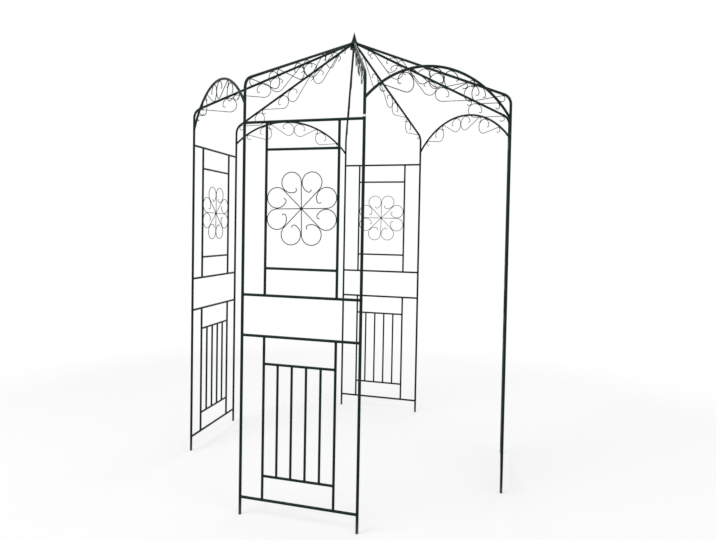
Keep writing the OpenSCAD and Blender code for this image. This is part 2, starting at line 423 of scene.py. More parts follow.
class Wiring:
    """A node tree under construction, with short calls to add and join nodes."""

    spacing = 200
    # A Mix node has its colour sockets behind those for numbers and vectors.
    mix_inputs = (0, 6, 7)
    mix_output = 2

    def __init__(self, tree: bpy.types.NodeTree) -> None:
        """Starts on an empty tree."""
        self.tree = tree

    @classmethod
    def over(cls, owner: Material | bpy.types.World) -> "Wiring":
        """Empties a tree and starts on it.

        Args:
            owner: The material or world whose tree it is.

        Returns:
            Its wiring.
        """
        owner.use_nodes = True
        owner.node_tree.nodes.clear()
        return cls(owner.node_tree)

    def add(self, kind: str, inputs: Inputs | None = None, **settings: object) -> Node:
        """Adds a node to the right of the others.

        Args:
            kind: The node's type.
            inputs: A value or socket for each input that is set, by its name or number.
            settings: Values of the node's own properties.

        Returns:
            The new node.
        """
        node = self.tree.nodes.new(kind)
        node.location.x = self.spacing * len(self.tree.nodes)
        for name, value in settings.items():
            setattr(node, name, value)
        for key, value in (inputs or {}).items():
            if isinstance(value, Socket):
                self.tree.links.new(value, node.inputs[key])
            else:
                node.inputs[key].default_value = value
        return node

    def math(self, operation: str, *values: object, clamp: bool = False) -> Socket:
        """Computes with values and sockets; clamped, the result stays between 0 and 1."""
        inputs = dict(enumerate(values))
        return self.add("ShaderNodeMath", inputs, operation=operation, use_clamp=clamp).outputs[0]

    def noise(self, vector: Socket, scale: object, detail: float, rough: float = 0.5) -> Socket:
        """Reads a noise, with its number of octaves and the strength of the fine ones."""
        inputs = {"Vector": vector, "Scale": scale, "Detail": detail, "Roughness": rough}
        return self.add("ShaderNodeTexNoise", inputs).outputs["Fac"]

    def ramp(self, value: Socket, low: object, high: object) -> Socket:
        """Steps smoothly from 0 at the value low to 1 at the value high."""
        inputs = {"Value": value, "From Min": low, "From Max": high}
        return self.add("ShaderNodeMapRange", inputs, interpolation_type="SMOOTHSTEP").outputs[0]

    def mix(self, amount: object, first: object, second: object) -> Socket:
        """Mixes two colours by the second one's share."""
        inputs = dict(zip(self.mix_inputs, (amount, first, second)))
        return self.add("ShaderNodeMix", inputs, data_type="RGBA").outputs[self.mix_output]

    def upward(self, vector: Socket) -> Socket:
        """Gives the part of a vector that points up."""
        return self.add("ShaderNodeSeparateXYZ", {0: vector}).outputs["Z"]

    def blend(self, share: Socket, shaders: Sequence[Node], end: str) -> None:
        """Mixes two shaders by the second one's share and ends the tree with them."""
        inputs = dict(enumerate([share, *(shader.outputs[0] for shader in shaders)]))
        self.add(end, {"Surface": self.add("ShaderNodeMixShader", inputs).outputs[0]})

    def seen_directly(self) -> Socket:
        """Tells the rays that see a thing from those that light with it.

        Returns:
            A socket that is 1 for camera, glossy and transmission rays, and 0 for others.
        """
        path = self.add("ShaderNodeLightPath").outputs
        seen = self.math("MAXIMUM", path["Is Camera Ray"], path["Is Glossy Ray"])
        return self.math("MAXIMUM", seen, path["Is Transmission Ray"])


class GroupWiring(Wiring):
    """The wiring inside a shader group, with the group's two ends."""

    def __init__(self, tree: bpy.types.NodeTree) -> None:
        """Starts on an empty group.

        Args:
            tree: The group's node tree.
        """
        super().__init__(tree)
        self.source = self.add("NodeGroupInput")
        self.result = self.add("NodeGroupOutput")

    def given(self, name: str) -> Socket:
        """Gives one of the group's inputs, as a socket inside it."""
        return self.source.outputs[name]

    def give(self, name: str, value: Socket) -> None:
        """Sends a socket to one of the group's outputs."""
        self.tree.links.new(value, self.result.inputs[name])


@dataclass(frozen=True)
class GroupPort:
    """One socket on the outside of a shader group."""

    name: str
    kind: str = "NodeSocketFloat"
    value: float | None = None


class EffectGroup:
    """A shader group that is built once and placed in many materials.

    An edge is a pair of values: where an effect begins, and where it is full.
    """

    name: str = ""
    inputs: tuple[GroupPort, ...] = ()
    outputs: tuple[GroupPort, ...] = ()

    def wire(self, wiring: GroupWiring) -> None:
        """Fills the group; each effect has its own way."""
        raise NotImplementedError

    def tree(self) -> bpy.types.NodeTree:
        """Gives the group, which is built on its first use.

        Returns:
            The group's node tree.
        """
        found = bpy.data.node_groups.get(self.name)
        if found:
            return found
        tree = bpy.data.node_groups.new(self.name, "ShaderNodeTree")
        for way, ports in (("INPUT", self.inputs), ("OUTPUT", self.outputs)):
            for port in ports:
                socket = tree.interface.new_socket(port.name, in_out=way, socket_type=port.kind)
                if port.value is not None:
                    socket.default_value = port.value
        self.wire(GroupWiring(tree))
        return tree

    def place(self, wiring: Wiring, inputs: Inputs) -> bpy.types.NodeOutputs:
        """Places the group in a material, with those of the inputs that it has."""
        own = {port.name: inputs[port.name] for port in self.inputs if port.name in inputs}
        return wiring.add("ShaderNodeGroup", own, node_tree=self.tree()).outputs


class PowderTexture(EffectGroup):
    """The fine pebbled surface of a baked powder coat and its cloudy tone."""

    name = "powder_texture"
    inputs = (
        GroupPort("Position", "NodeSocketVector"),
        GroupPort("Pebble scale", value=900.0),
        GroupPort("Cloud scale", value=9.0),
    )
    outputs = (GroupPort("Height"), GroupPort("Cloud"))
    swell_ratio = 0.22
    swell_share = 0.6

    def wire(self, wiring: GroupWiring) -> None:
        """Mixes small pebbles with a slow swell.

        Args:
            wiring: The inside of the group.
        """
        position, pebble_scale = wiring.given("Position"), wiring.given("Pebble scale")
        pebble = wiring.noise(position, pebble_scale, detail=2.0, rough=0.45)
        swell_scale = wiring.math("MULTIPLY", pebble_scale, self.swell_ratio)
        swell = wiring.noise(position, swell_scale, detail=1.0)
        height = wiring.math("MULTIPLY_ADD", swell, self.swell_share, pebble)
        wiring.give("Height", height)
        cloud = wiring.noise(position, wiring.given("Cloud scale"), detail=4.0, rough=0.6)
        wiring.give("Cloud", cloud)


class GardenDust(EffectGroup):
    """Pale dust that settles on upward faces and splashes up from the ground."""

    name = "garden_dust"
    inputs = (
        GroupPort("Position", "NodeSocketVector"),
        GroupPort("Normal", "NodeSocketVector"),
        GroupPort("Settled", value=0.3),
        GroupPort("Splash height", value=0.12),
    )
    outputs = (GroupPort("Dust"), GroupPort("Splash"))
    patch_scale = 60.0
    drop_scale = 240.0
    facing_up = (0.25, 0.95)
    patch_edge = (0.38, 0.72)
    splash_edge = (2.0, 0.2)

    def wire(self, wiring: GroupWiring) -> None:
        """Reads how far a face looks up and how near the ground it is.

        Args:
            wiring: The inside of the group.
        """
        position = wiring.given("Position")
        upward = wiring.ramp(wiring.upward(wiring.given("Normal")), *self.facing_up)
        patches = wiring.noise(position, self.patch_scale, detail=5.0, rough=0.65)
        settled = wiring.math("MULTIPLY", upward, wiring.ramp(patches, *self.patch_edge))
        wiring.give("Dust", wiring.math("MULTIPLY", settled, wiring.given("Settled"), clamp=True))
        drops = wiring.noise(position, self.drop_scale, detail=3.0, rough=0.6)
        reach = wiring.math("MULTIPLY", wiring.given("Splash height"), drops)
        near = wiring.math("DIVIDE", wiring.upward(position), reach)
        wiring.give("Splash", wiring.ramp(near, *self.splash_edge))


class CoatWear(EffectGroup):
    """Chips in the coat: a few anywhere, and many in a band round a slip joint.

    The band's edge and how far its middle lies below the joint are shares of its reach.
    """

    name = "coat_wear"
    inputs = (
        GroupPort("Position", "NodeSocketVector"),
        GroupPort("Chips", value=0.1),
        GroupPort("Joint height", value=-1.0),
        GroupPort("Band reach", value=0.004),
        GroupPort("Band wear", value=0.0),
    )
    outputs = (GroupPort("Bare"), GroupPort("Rubbed"), GroupPort("Seam"))
    scratch_scale = 520.0
    scratch_stretch = (1.0, 1.0, 0.3)
    sound_level = 0.86
    chip_share = 0.1
    bare_edge = 0.03
    rubbed_edge = 0.12
    band_below = 0.25
    band_edge = (1.0, 0.35)
    seam_edge = (0.5 * MM, 0.2 * MM)

    def wire(self, wiring: GroupWiring) -> None:
        """Cuts a scratched noise at a level that drops inside the band.

        Args:
            wiring: The inside of the group.
        """
        position, reach = wiring.given("Position"), wiring.given("Band reach")
        above = wiring.math("SUBTRACT", wiring.upward(position), wiring.given("Joint height"))
        slipped = wiring.math("MULTIPLY", reach, self.band_below)
        distance = wiring.math("ABSOLUTE", wiring.math("ADD", above, slipped))
        band = wiring.ramp(wiring.math("DIVIDE", distance, reach), *self.band_edge)
        worn = wiring.math("MULTIPLY", band, wiring.given("Band wear"))
        chips = wiring.math("MULTIPLY", wiring.given("Chips"), self.chip_share)
        drawn_out = {"Vector": position, "Scale": self.scratch_stretch}
        scratches = wiring.add("ShaderNodeMapping", drawn_out).outputs["Vector"]
        grain = wiring.noise(scratches, self.scratch_scale, detail=4.0, rough=0.7)
        cut = wiring.math("SUBTRACT", self.sound_level, wiring.math("ADD", worn, chips))
        wiring.give("Bare", wiring.ramp(grain, cut, wiring.math("ADD", cut, self.bare_edge)))
        outer = wiring.math("SUBTRACT", cut, self.rubbed_edge)
        wiring.give("Rubbed", wiring.ramp(grain, outer, cut))
        # The seam: a thin line round the joint, which the finish darkens as painted shade, since
        # the tubes meet there with no gap.
        wiring.give("Seam", wiring.ramp(wiring.math("ABSOLUTE", above), *self.seam_edge))


# ---- Finishes ----


@dataclass(frozen=True)
class PowderCoat:
    """A powder coat in the garden green, with its own tone, gloss and wear.

    An edge is a pair of values: where an effect begins, and where it is full.
    """

    name: str
    colour: tuple[float, float, float] = (0.0032, 0.0122, 0.0113)
    chalked: tuple[float, float, float] = (0.0060, 0.0200, 0.0186)
    dust: tuple[float, float, float] = (0.16, 0.17, 0.15)
    soil: tuple[float, float, float] = (0.10, 0.085, 0.06)
    primer: tuple[float, float, float] = (0.035, 0.070, 0.064)
    metal: tuple[float, float, float] = (0.60, 0.62, 0.61)
    # Painted shade for the seam at the slip joint, where the tubes meet with no gap.
    shadow: tuple[float, float, float] = (0.0015, 0.002, 0.002)
    roughness: float = 0.40
    rough_spread: float = 0.14
    specular: float = 0.09
    coat: float = 0.0
    pebble_scale: float = 800.0
    pebble_depth: float = 0.6
    settled: float = 0.25
    splash_height: float = 0.1 * MM
    chips: float = 0.2
    joint_height: float = -1.0
    band_reach: float = 0.004
    band_wear: float = 0.0
    speck_edge: tuple[float, float] = (0.7, 1.05)
    speck_share: float = 0.4
    cloud_edge: tuple[float, float] = (0.35, 0.7)
    soil_share: float = 0.6
    dust_rough: float = 0.4
    bump_reach: float = 0.2 * MM
    chip_depth: float = 1.5
    seam_depth: float = 6.0
    coat_rough: float = 0.25

    def build(self) -> Material:
        """Wires the finish.

        Returns:
            The new material.
        """
        material = bpy.data.materials.new(self.name)
        wiring = Wiring.over(material)
        inputs = {
            "Position": wiring.add("ShaderNodeTexCoord").outputs["Object"],
            "Normal": wiring.add("ShaderNodeNewGeometry").outputs["Normal"],
            "Pebble scale": self.pebble_scale,
            "Settled": self.settled,
            "Splash height": self.splash_height,
            "Chips": self.chips,
            "Joint height": self.joint_height,
            "Band reach": self.band_reach,
            "Band wear": self.band_wear,
        }
        effects = (PowderTexture(), GardenDust(), CoatWear())
        texture, grime, wear = (effect.place(wiring, inputs) for effect in effects)

        speck = wiring.ramp(texture["Height"], *self.speck_edge)
        speck = wiring.math("MULTIPLY", speck, self.speck_share)
        tone = wiring.math("MAXIMUM", wiring.ramp(texture["Cloud"], *self.cloud_edge), speck)
        colour = wiring.mix(tone, (*self.colour, 1), (*self.chalked, 1))
        for share, layer in (
            (wear["Rubbed"], self.primer),
            (grime["Dust"], self.dust),
            (wiring.math("MULTIPLY", grime["Splash"], self.soil_share), self.soil),
            (wear["Bare"], self.metal),
            # Painted shade: a dark line where post and rafter meet, standing in for the shade of a
            # gap.
            (wear["Seam"], self.shadow),
        ):
            colour = wiring.mix(share, colour, (*layer, 1))

        low = self.roughness - self.rough_spread / 2
        rough = wiring.math("MULTIPLY_ADD", texture["Cloud"], self.rough_spread, low)
        dusty = wiring.math("MULTIPLY", grime["Dust"], self.dust_rough)
        rough = wiring.math("ADD", rough, dusty, clamp=True)

        height = texture["Height"]
        for hollow, depth in ((wear["Bare"], self.chip_depth), (wear["Seam"], self.seam_depth)):
            height = wiring.math("ADD", height, wiring.math("MULTIPLY", hollow, -depth))
        surface = {"Strength": self.pebble_depth, "Distance": self.bump_reach, "Height": height}
        shader = {
            "Base Color": colour,
            "Roughness": rough,
            "Metallic": wear["Bare"],
            "Normal": wiring.add("ShaderNodeBump", surface).outputs["Normal"],
            "Specular IOR Level": self.specular,
            "Coat Weight": self.coat,
            "Coat Roughness": self.coat_rough,
        }
        coated = wiring.add("ShaderNodeBsdfPrincipled", shader).outputs["BSDF"]
        wiring.add("ShaderNodeOutputMaterial", {"Surface": coated})
        return material


class Finishes:
    """Every finish of the pavilion, built once."""

    def __init__(self, sizes: Sizes) -> None:
        """Builds the finish of each slot, and the worn ones of the rubbed joint.

        Args:
            sizes: The pavilion's sizes.
        """
        joint = {"joint_height": sizes.post_top, "band_reach": 5 * MM, "band_wear": 0.22}
        rubbed = {"joint_height": sizes.post_top, "band_reach": 9 * MM, "band_wear": 0.47}
        foot, roof = {"splash_height": 0.09}, {"settled": 0.4}
        sound = {
            Slot.POST: PowderCoat("post_powder_coat", **foot, **joint),
            Slot.RAFTER: PowderCoat("rafter_powder_coat", **roof, **joint),
            Slot.TRELLIS: PowderCoat("trellis_powder_coat", splash_height=0.07),
            Slot.ARCH: PowderCoat("arch_powder_coat", **roof),
            Slot.WIRE: PowderCoat("wire_powder_coat", pebble_scale=1300.0, roughness=0.5),
            Slot.HUB: PowderCoat("hub_powder_coat", settled=0.35, chips=0.4),
            Slot.FINIAL: PowderCoat(
                "finial_powder_coat", roughness=0.3, coat=0.1, settled=0.15, chips=0.3
            ),
        }
        worn = {
            Slot.POST: PowderCoat("rubbed_post_powder_coat", **foot, **rubbed),
            Slot.RAFTER: PowderCoat("rubbed_rafter_powder_coat", **roof, **rubbed),
        }
        self.sound = {slot: coat.build() for slot, coat in sound.items()}
        self.worn = {slot: coat.build() for slot, coat in worn.items()}


# ---- Weld patterns ----


@dataclass(frozen=True)
class SeamBead:
    """The bead round the end of one tube where it meets another from the side.

    The pattern's origin is on the other tube's axis, which is its Z, and the
    branch leaves towards +X, raised by its slope. Ripple and lift are shares of
    the bead's own radius.
    """

    branch_r: float
    main_r: float
    slope: float = 0.0
    bead_r: float = 1.1 * MM
    steps: int = 24
    sides: int = 6
    ripple: float = 0.14
    lift: float = 0.2

    def seam_point(self, turn: float) -> Vector:
        """Finds a point where the two tubes' surfaces meet.

        Args:
            turn: The angle about the branch's axis, in radians.

        Returns:
            The point.
        """
        room = self.main_r - self.bead_r * (1 + self.ripple)
        across = min(self.branch_r, room) * math.cos(turn)
        raised = (self.branch_r + self.bead_r * self.lift) * math.sin(turn)
        depth = math.sqrt(max(self.main_r**2 - across**2, 0.0))
        run = (depth + raised * math.sin(self.slope)) / math.cos(self.slope)
        rise = run * math.sin(self.slope) + raised * math.cos(self.slope)
        return Vector((depth, across, rise))

    def pattern(self) -> Piece:
        """Models the bead: a ring that is pushed into the seam, section by section.

        Returns:
            The pattern piece.
        """
        tilt = Matrix.Rotation(-self.slope, 4, "Y")
        stand = Matrix.Rotation(math.pi / 2, 4, "Z") @ Matrix.Rotation(math.pi / 2, 4, "X")
        steps, sides = self.steps, self.sides
        ring = add_ring("bead", self.branch_r, self.bead_r, steps, sides, tilt @ stand)
        with editing(ring):
            for step, turn in each_section(ring, steps, sides):
                middle = tilt @ Vector((0, math.cos(turn), math.sin(turn))) * self.branch_r
                swell = 1 + (self.ripple if step % 2 else -self.ripple)
                scale_chosen((swell,) * 3, middle)
                bpy.ops.transform.translate(value=self.seam_point(turn) - middle)
        smooth(ring, degrees=80)
        return ring


@dataclass(frozen=True)
class TackBead:
    """The short bead that joins a wire to the tube or wire beside it.

    The pattern's origin is the point of contact, and its X runs along the seam.
    The bands are shares of the bead's length.
    """

    length: float = 9 * MM
    width: float = 5.2 * MM
    height: float = 3.4 * MM
    swells: tuple[tuple[int, float], ...] = ((-1, 1.22), (1, 1.1))
    swell_band: tuple[float, float] = (0.12, 0.4)
    waist: float = 0.86
    waist_band: float = 0.06

    def pattern(self) -> Piece:
        """Models the bead: a ball drawn out, waisted and flattened by hand.

        Returns:
            The pattern piece.
        """
        deselect()
        bpy.ops.mesh.primitive_uv_sphere_add(segments=10, ring_count=8, radius=0.5)
        blob = bpy.context.object
        with editing(blob):
            bpy.ops.mesh.select_all(action="SELECT")
            bpy.ops.transform.rotate(value=math.pi / 2, orient_axis="Y", center_override=(0, 0, 0))
            scale_chosen((self.length, self.width, self.height))
            near, far = (share * self.length for share in self.swell_band)
            for end, swell in self.swells:
                choose(blob, lambda vert, end=end: near < end * vert.co.x < far)
                scale_chosen((1, swell, swell))
            choose(blob, lambda vert: abs(vert.co.x) < self.waist_band * self.length)
            scale_chosen((1, self.waist, self.waist))
        smooth(blob, degrees=80)
        return blob


@dataclass(frozen=True)
class RivetHead:
    """The domed head on each end of a flower's boss.

    The boss's end face is the pattern's XY plane: the head's wall is sunk in it,
    and its dome points along +Z. The wall is a share of the height. Each ring is
    drawn in by a share of the radius and raised by a share of the height.
    """

    radius: float = 6.4 * MM
    height: float = 2.2 * MM
    wall: float = 0.4
    sides: int = 32
    rings: tuple[tuple[float, float], ...] = (
        (0.16, 0.30),
        (0.22, 0.22),
        (0.22, 0.12),
        (0.2, 0.05),
    )

    def pattern(self) -> Piece:
        """Models the head: a disc whose top is drawn in and up, ring by ring.

        Returns:
            The pattern piece.
        """
        deselect()
        wall = self.height * self.wall
        bpy.ops.mesh.primitive_cylinder_add(
            vertices=self.sides, radius=self.radius, depth=2 * wall
        )
        head = bpy.context.object
        with editing(head):
            choose(head, lambda vert: vert.co.z > 0)
            bpy.ops.transform.translate(value=(0, 0, -wall))
            for inward, upward in self.rings:
                bpy.ops.mesh.inset(thickness=self.radius * inward)
                bpy.ops.transform.translate(value=(0, 0, self.height * upward))
        smooth(head, degrees=75)
        return head


class Kit:
    """The finishes and weld patterns, made once for all the sub-assemblies."""

    def __init__(self, sizes: Sizes) -> None:
        """Builds the finishes and models each weld.

        Args:
            sizes: The pavilion's sizes.
        """
        s = sizes
        self.finishes = Finishes(s)
        self.patterns = {
            Weld.RAIL: SeamBead(s.rail_r, s.post_r).pattern(),
            Weld.STILE: SeamBead(s.stile_r, s.rail_r).pattern(),
            Weld.CROSS: SeamBead(s.cross_r, s.stile_r).pattern(),
            Weld.BAR: SeamBead(s.bar_r, s.cross_r).pattern(),
            Weld.TACK: TackBead().pattern(),
            Weld.RIVET: RivetHead().pattern(),
            Weld.HUB: SeamBead(s.post_r, s.hub_r, slope=-s.pitch).pattern(),
            Weld.ARCH: SeamBead(s.arch_bar_r, s.post_r, slope=s.arch_half_angle).pattern(),
        }

    def coat(self, name: str, slot: Slot, worn: bool = False) -> None:
        """Gives a node of the model its finish.

        Args:
            name: The node's name.
            slot: Its slot.
            worn: Whether it takes the worn finish of that slot.
        """
        finish = (self.finishes.worn if worn else self.finishes.sound)[slot]
        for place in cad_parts[name].material_slots:
            place.material = finish
        LOG.info("%s: coated with %s", name, finish.name)

    def fit(self, piece: Piece, slot: Slot) -> None:
        """Gives a new piece the finish of a slot and the body that it rides on.

        Args:
            piece: A finished piece at the origin.
            slot: The slot whose finish it takes.
        """
        piece.data.materials.clear()
        piece.data.materials.append(self.finishes.sound[slot])
        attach(piece, BODY)
        LOG.info("%s: %d faces", piece.name, len(piece.data.polygons))

    def lay(
        self, weld: Weld, name: str, turn: Matrix, places: Sequence[Matrix], slot: Slot
    ) -> None:
        """Copies a weld to its places in a sub-assembly's own frame, as one piece."""
        self.fit(copies(self.patterns[weld], name, [turn @ place for place in places]), slot)

    def clear(self) -> None:
        """Removes the patterns once everything is laid."""
        for pattern in self.patterns.values():
            bpy.data.meshes.remove(pattern.data)


# ---- Sub-assemblies ----


@dataclass
class Panel:
    """One trellis panel: its two posts, both infills and their welds."""

    side: Side
    sizes: Sizes
    stile_inset: float = 118 * MM
    lower_bottom_margin: float = 120 * MM
    lower_top_margin: float = 135 * MM
    upper_margin: float = 133 * MM
    bar_count: int = 4
    flower_rise: float = 3 * MM
    petal_r: float = 49.38 * MM
    petal_angle: float = math.pi / 4
    boss_length: float = 8 * MM

    @property
    def stile_x(self) -> float:
        """Distance of a stile from the middle of the panel."""
        return self.sizes.half_panel - self.stile_inset

    @property
    def flower_middle(self) -> float:
        """Height of the flower's centre."""
        return (self.sizes.upper_mid_rail + self.sizes.top_rail) / 2 + self.flower_rise

    def cross_heights(self) -> tuple[float, float, float, float]:
        """Finds the heights of the four cross rails.

        Returns:
            The heights, lowest first.
        """
        s = self.sizes
        return (
            s.bottom_rail + self.lower_bottom_margin,
            s.lower_mid_rail - self.lower_top_margin,
            s.upper_mid_rail + self.upper_margin,
            s.top_rail - self.upper_margin,
        )

    def seat(self, x: float, z: float) -> Vector:
        """Gives a point of the front panel's plane, before the side's turn."""
        return Vector((x, -self.sizes.half_span, z))

    def level_seams(self, x: float, heights: Sequence[float]) -> list[Matrix]:
        """Places a seam at both ends of level bars that reach x to either hand."""
        ends = [(hand, z) for z in heights for hand in (-1, 1)]
        return [place_on(self.seat(hand * x, z), -hand * X_AXIS, Z_AXIS) for hand, z in ends]

    def upright_seams(self, stations: Sequence[float], low: float, high: float) -> list[Matrix]:
        """Places a seam at the lower and upper ends of upright bars."""
        ends = [(x, z, way) for z, way in ((low, 1), (high, -1)) for x in stations]
        return [place_on(self.seat(x, z), way * Z_AXIS, X_AXIS) for x, z, way in ends]

    def petal_tacks(self) -> list[Matrix]:
        """Finds where the outermost petals touch the stiles.

        Returns:
            A place for each tack.
        """
        s, face = self.sizes, self.stile_x - self.sizes.stile_r
        reach = face - s.wire_r + s.weld_depth
        swing = (reach - self.petal_r) * math.tan(self.petal_angle / 2)
        ends = [(hand, self.flower_middle + way * swing) for hand in (-1, 1) for way in (-1, 1)]
        return [place_on(self.seat(hand * face, z), Z_AXIS, hand * X_AXIS) for hand, z in ends]

    def boss_heads(self) -> list[Matrix]:
        """Places a rivet head at each end of the flower's boss."""
        middle, out = self.seat(0, self.flower_middle), Vector((0, self.boss_length / 2, 0))
        return [place_on(middle + way * out, X_AXIS, way * out) for way in (-1, 1)]

    def build(self, kit: Kit) -> None:
        """Coats the panel's nodes and lays its welds.

        Args:
            kit: The finishes and weld patterns.
        """
        s, label = self.sizes, self.side.label
        for hand in self.side.hands:
            worn = (self.side, hand) == WORN_JOINT
            kit.coat(f"{label}_{hand}_post", Slot.POST, worn)
        for half in ("barred", "flower"):
            kit.coat(f"{label}_{half}_trellis", Slot.TRELLIS)
        stiles = (-self.stile_x, self.stile_x)
        gap = 2 * self.stile_x / (self.bar_count + 1)
        bars = [number * gap - self.stile_x for number in range(1, self.bar_count + 1)]
        lower, upper = (s.bottom_rail, s.lower_mid_rail), (s.upper_mid_rail, s.top_rail)
        crosses = self.cross_heights()
        stile_seams = self.upright_seams(stiles, *lower) + self.upright_seams(stiles, *upper)
        for weld, name, places in (
            (Weld.RAIL, "panel_rail_welds", self.level_seams(s.half_panel, lower + upper)),
            (Weld.STILE, "panel_stile_welds", stile_seams),
            (Weld.CROSS, "panel_cross_welds", self.level_seams(self.stile_x, crosses)),
            (Weld.BAR, "panel_bar_welds", self.upright_seams(bars, *crosses[:2])),
            (Weld.TACK, "panel_tack_welds", self.petal_tacks()),
            (Weld.RIVET, "flower_rivet_heads", self.boss_heads()),
        ):
            kit.lay(weld, f"{label}_{name}", self.side.turn, places, Slot.TRELLIS)


@dataclass
class Rafter:
    """One bent rafter with the frieze under it."""

    side: Side
    hand: str
    sizes: Sizes
    bend_r: float = 65 * MM
    loop_r: float = 43 * MM
    scroll_span: float = 176.88 * MM

    @property
    def name(self) -> str:
        """The rafter node's name."""
        return f"{self.side.label}_{self.hand}_rafter"

    @property
    def turn(self) -> Matrix:
        """The move from an upright plane through the axis to this rafter.

        Returns:
            A turn that carries +X to the way outward.
        """
        way = -1 if self.hand == self.side.hands[0] else 1
        swing = way * math.atan2(self.sizes.half_panel, self.sizes.half_span)
        return Matrix.Rotation(math.radians(self.side.degrees + FRONT_HEADING) + swing, 4, "Z")

    @property
    def up_slope(self) -> Vector:
        """The direction up the rafter, in the radial plane."""
        return Vector((-math.cos(self.sizes.pitch), 0, math.sin(self.sizes.pitch)))

    @property
    def down(self) -> Vector:
        """The direction square to the rafter and downward, in the radial plane."""
        return Vector((-math.sin(self.sizes.pitch), 0, -math.cos(self.sizes.pitch)))

    def run_point(self, along: float, below: float) -> Vector:
        """Finds a point by its distance up the rafter's axis and square below it."""
        corner = Vector((self.sizes.post_radius, 0, self.sizes.eaves))
        return corner + self.up_slope * along + self.down * below

    def tack_places(self) -> list[Matrix]:
        """Finds where the scrolls touch the rafter and each other.

        Returns:
            A place for each tack.
        """
        s, loop_r, slope, down = self.sizes, self.loop_r, self.up_slope, self.down
        touch = s.touch_distance(loop_r)
        share = (s.curl_r + s.wire_r) / touch
        depth = s.seat_depth(s.curl_r) + (loop_r - s.curl_r) * share
        contact = math.sqrt(touch**2 - (loop_r - s.curl_r) ** 2)
        step, half = self.scroll_span + contact, s.half_pair(loop_r)
        bend = self.bend_r * math.tan((math.pi / 2 - s.pitch) / 2)
        middle = bend + half + (s.scrolls_per_half - 1) * step + self.scroll_span
        places = []
        for way in (-1, 1):
            for number in range(s.scrolls_per_half):
                loop_at = middle + way * (half + number * step)
                curl_at = loop_at + way * self.scroll_span
                for at in (loop_at, curl_at):
                    places.append(place_on(self.run_point(at, s.post_r), slope, -down))
                if number + 1 < s.scrolls_per_half:
                    between = self.run_point(curl_at + way * contact * share, s.post_r + depth)
                    places.append(place_on(between, down, slope))
        at_middle = self.run_point(middle, s.post_r + s.seat_depth(loop_r))
        places.append(place_on(at_middle, down, slope))
        return places

    def build(self, kit: Kit) -> None:
        """Coats the rafter and its frieze and lays their welds.

        Args:
            kit: The finishes and weld patterns.
        """
        name, turn = self.name, self.turn
        kit.coat(name, Slot.RAFTER, worn=(self.side, self.hand) == WORN_JOINT)
        kit.coat(f"{name}_scrolls", Slot.WIRE)
        kit.lay(Weld.TACK, f"{name}_scroll_tacks", turn, self.tack_places(), Slot.WIRE)
        axis_hit = Vector((0, 0, self.sizes.eaves + self.sizes.roof_rise))
        seam = place_on(axis_hit, X_AXIS, Z_AXIS)
        kit.lay(Weld.HUB, f"{name}_hub_weld", turn, [seam], Slot.HUB)


@dataclass
class Doorway:
    """One arch with the frieze inside it."""

    side: Side
    sizes: Sizes
    loop_r: float = 46.5 * MM
    scroll_span: float = 134.99 * MM

    @property
    def name(self) -> str:
        """The arch node's name."""
        return f"{self.side.doorway}_arch"

    @property
    def turn(self) -> Matrix:
        """The move from an upright plane through the axis to this doorway.

        Returns:
            A push out of the plane, and a turn to the doorway's own side.
        """
        out = -(self.sizes.half_span + self.sizes.half_panel) / math.sqrt(2)
        swing = Matrix.Rotation(math.radians(self.side.degrees + NEXT_DOORWAY), 4, "Z")
        return swing @ Matrix.Translation((0, out, 0))

    def arc_point(self, radius: float, turn: float) -> Vector:
        """Finds a point by its distance from the arch's centre and angle off its crown."""
        centre = self.sizes.arch_crown - self.sizes.arch_radius
        return Vector((radius * math.sin(turn), 0, centre + radius * math.cos(turn)))

    def tack_places(self) -> list[Matrix]:
        """Finds where the scrolls touch the arch and each other.

        Returns:
            A place for each tack.
        """
        s, loop_r = self.sizes, self.loop_r
        inner = s.arch_radius - s.arch_bar_r
        loop_at = inner - s.seat_depth(loop_r)
        curl_at = inner - s.seat_depth(s.curl_r)

        def turn_between(distance: float) -> float:
            """Gives the angle at the arch's centre between a loop and a curl."""
            return math.acos((loop_at**2 + curl_at**2 - distance**2) / (2 * loop_at * curl_at))

        first = math.asin(s.half_pair(loop_r) / loop_at)
        span = turn_between(math.hypot(self.scroll_span, loop_r - s.curl_r))
        touch = s.touch_distance(loop_r)
        contact = turn_between(touch)
        share = (s.curl_r + s.wire_r) / touch
        places = []
        for way in (-1, 1):
            for number in range(s.scrolls_per_half):
                loop_turn = way * (first + number * (span + contact))
                curl_turn = loop_turn + way * span
                for turn in (loop_turn, curl_turn):
                    outward = Vector((math.sin(turn), 0, math.cos(turn)))
                    along = Vector((math.cos(turn), 0, -math.sin(turn)))
                    places.append(place_on(self.arc_point(inner, turn), along, outward))
                if number + 1 < s.scrolls_per_half:
                    curl = self.arc_point(curl_at, curl_turn)
                    loop = self.arc_point(loop_at, curl_turn + way * contact)
                    across = loop - curl
                    along = Vector((-across.z, 0, across.x))
                    places.append(place_on(curl.lerp(loop, share), along, across))
        places.append(place_on(self.arc_point(loop_at, 0), Z_AXIS, X_AXIS))
        return places

    def end_seams(self) -> list[Matrix]:
        """Finds where the ends of the arch meet the posts' sleeves.

        Returns:
            A place for each seam.
        """
        spring = (self.sizes.top_rail + self.sizes.spring_rise) * Z_AXIS
        ends = [(way, way * self.sizes.arch_chord / 2 * X_AXIS + spring) for way in (-1, 1)]
        return [place_on(end, -way * X_AXIS, Z_AXIS) for way, end in ends]

    def build(self, kit: Kit) -> None:
        """Coats the arch and its frieze and lays their welds.

        Args:
            kit: The finishes and weld patterns.
        """
        name, turn = self.name, self.turn
        kit.coat(name, Slot.ARCH)
        kit.coat(f"{name}_scrolls", Slot.WIRE)
        kit.lay(Weld.TACK, f"{name}_scroll_tacks", turn, self.tack_places(), Slot.WIRE)
        kit.lay(Weld.ARCH, f"{name}_end_welds", turn, self.end_seams(), Slot.ARCH)


